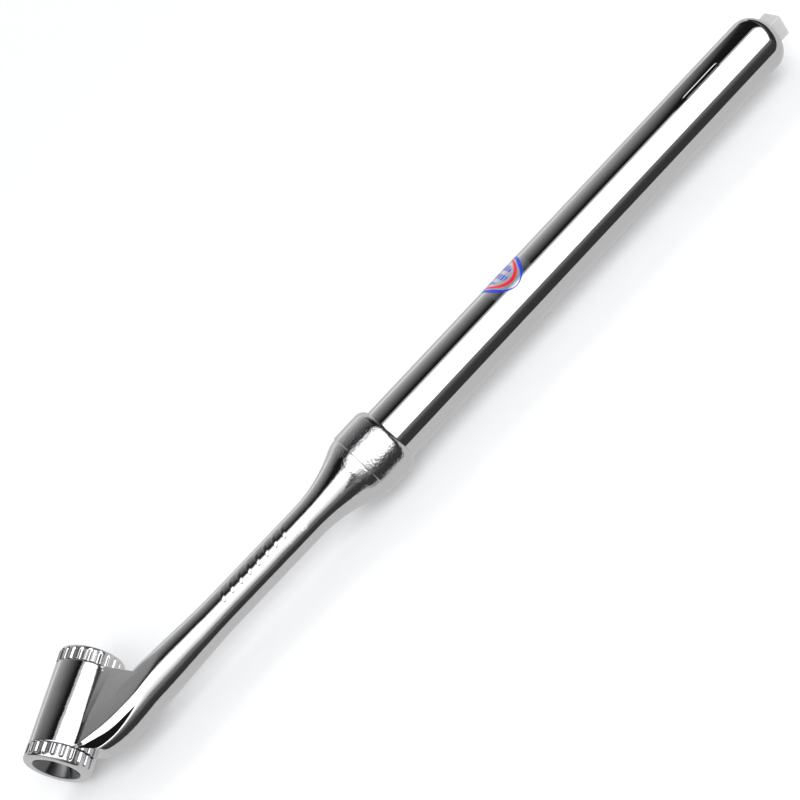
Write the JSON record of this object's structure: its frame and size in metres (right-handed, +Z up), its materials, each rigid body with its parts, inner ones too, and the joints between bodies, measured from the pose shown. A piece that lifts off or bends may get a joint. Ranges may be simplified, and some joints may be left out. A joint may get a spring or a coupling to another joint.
{
  "type": "dual-foot stick tyre pressure gauge",
  "caption": "Chrome-plated stick tyre pressure gauge: a barrel tube, a cast neck and head with two opposed scalloped feet, and a sliding graduated square bar.",
  "frame": {"origin": "on the tube axis at the middle of the collar, where the head casting grips the tube", "axes": "+X along the tube to the tip of the indicator bar, +Y to the side the foot barrel rises to, +Z up with the gauge lying flat"},
  "size_m": [0.2721, 0.0408, 0.0198],
  "materials": {
    "cast_chrome": "chrome plating over a die casting, slightly uneven",
    "ring_chrome": "chrome plating over turned brass",
    "tube_chrome": "bright chrome plating over drawn brass tube",
    "brass": "plain turned brass",
    "rubber": "moulded nitrile rubber",
    "aluminium": "turned",
    "spring_steel": "lightly oiled spring steel",
    "bar_nylon": "natural nylon with graduations printed on it",
    "black_plastic": "moulded acetal",
    "label_film": "printed polyester film"
  },
  "bodies": {
    "gauge_body": {"head_casting": "cast_chrome", "lower_cap_ring": "ring_chrome", "upper_cap_ring": "ring_chrome", "lower_slip_washer": "brass", "upper_slip_washer": "brass", "lower_seal_washer": "rubber", "upper_seal_washer": "rubber", "barrel_tube": "tube_chrome", "tube_gasket": "rubber", "calibrated_spring": "spring_steel", "spring_seat_washer": "spring_steel", "end_bushing": "black_plastic", "friction_leaf": "spring_steel", "tube_label": "label_film"},
    "shuttle": {"shuttle_pin": "brass"},
    "piston_stack": {"piston_cup": "rubber", "cup_washer": "brass", "cup_screw": "brass", "piston": "aluminium"},
    "indicator": {"indicator_bar": "bar_nylon", "bar_stop": "black_plastic"}
  },
  "joints": [
    {"name": "shuttle_slide", "type": "slide", "parent": "gauge_body", "child": "shuttle", "axis": [-0.781, -0.6246, 0], "range_m": [-0.0006, 0.0006]},
    {"name": "piston_slide", "type": "slide", "parent": "gauge_body", "child": "piston_stack", "axis": [1, 0, 0], "range_m": [0, 0.075], "stiffness_N_per_m": 2380, "deforming": ["calibrated_spring"]},
    {"name": "indicator_slide", "type": "slide", "parent": "gauge_body", "child": "indicator", "axis": [1, 0, 0], "range_m": [0, 0.075]}
  ],
  "couplings": [
    {"joint": "indicator_slide", "follows": "piston_slide", "ratio": 1}
  ]
}
